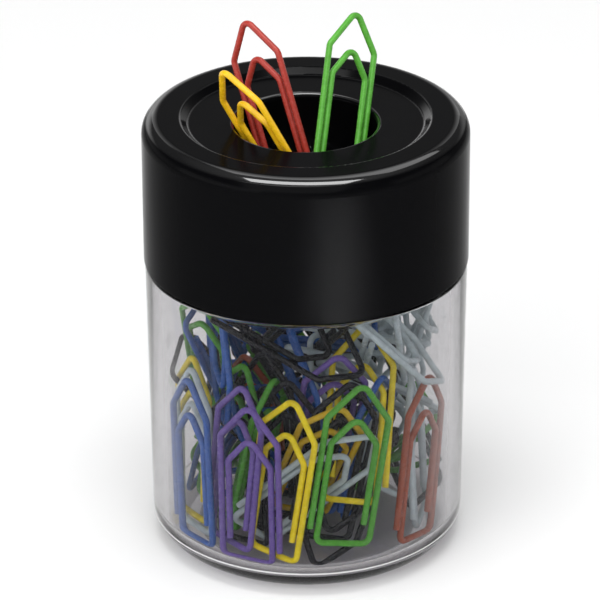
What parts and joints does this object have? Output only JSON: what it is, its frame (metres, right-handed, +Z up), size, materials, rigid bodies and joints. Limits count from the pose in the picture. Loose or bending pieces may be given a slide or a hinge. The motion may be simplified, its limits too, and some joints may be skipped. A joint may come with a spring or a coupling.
{
  "type": "magnetic paper clip holder",
  "caption": "Clear round jar of loose coated paper clips under a lift-off black cap whose hidden magnet ring holds clips upright in its open throat.",
  "frame": {"origin": "middle of the jar's foot, on the surface it stands on", "axes": "+Z up along the jar's axis, -Y towards the front of the picture, +X to the viewer's right"},
  "size_m": [0.057, 0.057, 0.0953],
  "materials": {
    "clear_plastic": "clear, polished",
    "black_plastic": "polished black",
    "ferrite": "ground dark grey",
    "coat_purple": "smooth coated wire",
    "coat_blue": "smooth coated wire",
    "coat_green": "smooth coated wire",
    "coat_red": "smooth coated wire",
    "coat_rust": "smooth coated wire",
    "coat_amber": "smooth coated wire",
    "coat_yellow": "smooth coated wire",
    "coat_orange": "smooth coated wire",
    "coat_white": "smooth coated wire",
    "coat_black": "smooth coated wire"
  },
  "bodies": {
    "jar": {"jar": "clear_plastic", "loose_clip_black_1": "coat_black", "loose_clip_black_2": "coat_black", "loose_clip_black_3": "coat_black", "loose_clip_black_4": "coat_black", "loose_clip_black_5": "coat_black", "loose_clip_blue_1": "coat_blue", "loose_clip_blue_2": "coat_blue", "loose_clip_green_1": "coat_green", "loose_clip_green_2": "coat_green", "loose_clip_green_3": "coat_green", "loose_clip_orange_1": "coat_orange", "loose_clip_purple_1": "coat_purple", "loose_clip_purple_2": "coat_purple", "loose_clip_purple_3": "coat_purple", "loose_clip_red_1": "coat_rust", "loose_clip_red_2": "coat_rust", "loose_clip_white_1": "coat_white", "loose_clip_white_2": "coat_white", "loose_clip_white_3": "coat_white", "loose_clip_white_4": "coat_white", "loose_clip_yellow_1": "coat_yellow", "loose_clip_yellow_2": "coat_yellow", "loose_clip_yellow_3": "coat_yellow", "loose_clips_black": "coat_black", "loose_clips_blue": "coat_blue", "loose_clips_green": "coat_green", "loose_clips_white": "coat_white"},
    "cap": {"cap_shell": "black_plastic", "magnet_ring": "ferrite", "throat_liner": "black_plastic"},
    "red_clip": {"held_clip_red": "coat_red"},
    "yellow_clip": {"held_clip_yellow": "coat_amber"},
    "green_clip": {"held_clip_green": "coat_green"}
  },
  "joints": [
    {"name": "cap_lift", "type": "slide", "parent": "jar", "child": "cap", "axis": [0, 0, 1], "range_m": [0, 0.04]},
    {"name": "red_clip_pull", "type": "slide", "parent": "cap", "child": "red_clip", "axis": [-0.2738, 0.3127, 0.9095], "range_m": [0, 0.025]},
    {"name": "yellow_clip_pull", "type": "slide", "parent": "cap", "child": "yellow_clip", "axis": [-0.4695, -0.0086, 0.8829], "range_m": [0, 0.025]},
    {"name": "green_clip_pull", "type": "slide", "parent": "cap", "child": "green_clip", "axis": [0.1242, 0.4958, 0.8595], "range_m": [0, 0.025]}
  ]
}
